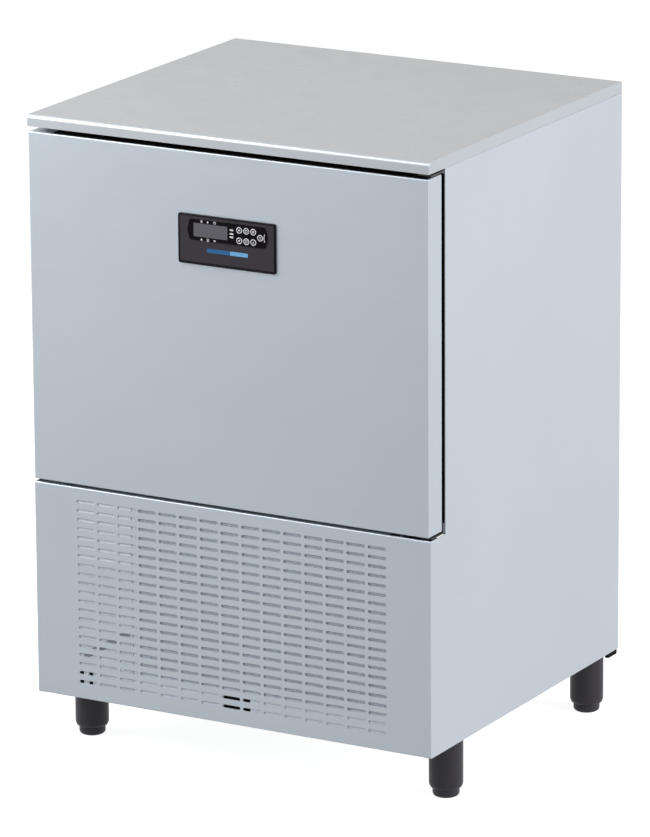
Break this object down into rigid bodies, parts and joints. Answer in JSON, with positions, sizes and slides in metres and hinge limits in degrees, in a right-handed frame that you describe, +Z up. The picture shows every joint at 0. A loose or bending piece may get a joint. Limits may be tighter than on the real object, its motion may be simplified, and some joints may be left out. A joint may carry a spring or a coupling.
{
  "type": "blast chiller",
  "caption": "Under-counter blast chiller: insulated steel cabinet, hinged door with control panel, slotted machine compartment, adjustable feet.",
  "frame": {"origin": "centre of the footprint, on the floor under the feet", "axes": "+Z up, -Y towards the door, +X towards the hinge side"},
  "size_m": [0.8, 0.7294, 1.169],
  "materials": {
    "steel": "satin stainless sheet",
    "steel_top": "satin stainless sheet, slightly warmer",
    "galvanised": "zinc-coated sheet and brackets",
    "foam": "rigid polyurethane foam",
    "black_plastic": "satin moulded plastic",
    "rubber": "matte",
    "control_plastic": "fine-textured moulded plastic",
    "control_lens": "gloss window",
    "key": "satin keys",
    "aluminium": "mill fins",
    "copper": "drawn copper tube",
    "black_enamel": "semi-gloss black enamel",
    "pale_box": "pale grey powder coat"
  },
  "bodies": {
    "cabinet": {"worktop": "steel_top", "side_panel_left": "steel", "side_panel_right": "steel", "grille_panel": "steel", "back_panel": "steel", "front_frame": "steel", "inner_liner": "steel", "insulation_body": "foam", "base_tray": "galvanised", "leg_sleeve_front_left": "black_plastic", "leg_sleeve_front_right": "black_plastic", "leg_sleeve_rear_left": "black_plastic", "leg_sleeve_rear_right": "black_plastic", "rear_pad_left": "rubber", "rear_pad_right": "rubber", "hinge_top": "galvanised", "hinge_bottom": "galvanised", "rack_left": "steel", "rack_right": "steel", "evaporator_cover": "steel", "evaporator_coil": "aluminium", "evaporator_fan_motor": "black_enamel", "condenser_coil": "aluminium", "condenser_shroud": "galvanised", "condenser_fan_motor": "black_enamel", "compressor": "black_enamel", "compressor_terminal_cover": "black_plastic", "compressor_grommet_1": "rubber", "compressor_grommet_2": "rubber", "compressor_grommet_3": "rubber", "compressor_grommet_4": "rubber", "electrical_box": "pale_box", "cable_gland": "black_plastic", "filter_drier": "copper", "discharge_pipe": "copper", "suction_pipe": "copper", "liquid_pipe": "copper", "condensate_tray": "galvanised"},
    "door": {"door_skin": "steel", "door_grip": "black_plastic", "door_foam": "foam", "door_inner_panel": "steel", "door_gasket": "rubber", "hinge_bush_top": "black_plastic", "hinge_bush_bottom": "black_plastic", "control_bezel": "control_plastic", "control_lens": "control_lens"},
    "key_1": {"key_1": "key"},
    "key_2": {"key_2": "key"},
    "key_3": {"key_3": "key"},
    "key_4": {"key_4": "key"},
    "key_5": {"key_5": "key"},
    "key_6": {"key_6": "key"},
    "key_7": {"key_7": "key"},
    "evaporator_fan": {"evaporator_fan": "black_plastic"},
    "condenser_fan": {"condenser_fan": "black_plastic"},
    "foot_front_left": {"foot_front_left": "black_plastic"},
    "foot_front_right": {"foot_front_right": "black_plastic"},
    "foot_rear_left": {"foot_rear_left": "black_plastic"},
    "foot_rear_right": {"foot_rear_right": "black_plastic"}
  },
  "joints": [
    {"name": "door_hinge", "type": "hinge", "parent": "cabinet", "child": "door", "pos_m": [0.386, -0.33535, 0.823], "axis": [0, 0, 1], "range_deg": [0, 110]},
    {"name": "key_1_press", "type": "slide", "parent": "door", "child": "key_1", "axis": [0, 1, 0], "range_m": [0, 0.0008], "stiffness_N_per_m": 400},
    {"name": "key_2_press", "type": "slide", "parent": "door", "child": "key_2", "axis": [0, 1, 0], "range_m": [0, 0.0008], "stiffness_N_per_m": 400},
    {"name": "key_3_press", "type": "slide", "parent": "door", "child": "key_3", "axis": [0, 1, 0], "range_m": [0, 0.0008], "stiffness_N_per_m": 400},
    {"name": "key_4_press", "type": "slide", "parent": "door", "child": "key_4", "axis": [0, 1, 0], "range_m": [0, 0.0008], "stiffness_N_per_m": 400},
    {"name": "key_5_press", "type": "slide", "parent": "door", "child": "key_5", "axis": [0, 1, 0], "range_m": [0, 0.0008], "stiffness_N_per_m": 400},
    {"name": "key_6_press", "type": "slide", "parent": "door", "child": "key_6", "axis": [0, 1, 0], "range_m": [0, 0.0008], "stiffness_N_per_m": 400},
    {"name": "key_7_press", "type": "slide", "parent": "door", "child": "key_7", "axis": [0, 1, 0], "range_m": [0, 0.0008], "stiffness_N_per_m": 400},
    {"name": "evaporator_fan_spin", "type": "hinge", "parent": "cabinet", "child": "evaporator_fan", "pos_m": [0, 0.14765, 0.83], "axis": [0, 1, 0], "continuous": true},
    {"name": "condenser_fan_spin", "type": "hinge", "parent": "cabinet", "child": "condenser_fan", "pos_m": [0.062, -0.23535, 0.323], "axis": [0, 1, 0], "continuous": true},
    {"name": "foot_front_left_screw", "type": "slide", "parent": "cabinet", "child": "foot_front_left", "axis": [0, 0, -1], "range_m": [0, 0.025]},
    {"name": "foot_front_right_screw", "type": "slide", "parent": "cabinet", "child": "foot_front_right", "axis": [0, 0, -1], "range_m": [0, 0.025]},
    {"name": "foot_rear_left_screw", "type": "slide", "parent": "cabinet", "child": "foot_rear_left", "axis": [0, 0, -1], "range_m": [0, 0.025]},
    {"name": "foot_rear_right_screw", "type": "slide", "parent": "cabinet", "child": "foot_rear_right", "axis": [0, 0, -1], "range_m": [0, 0.025]}
  ]
}
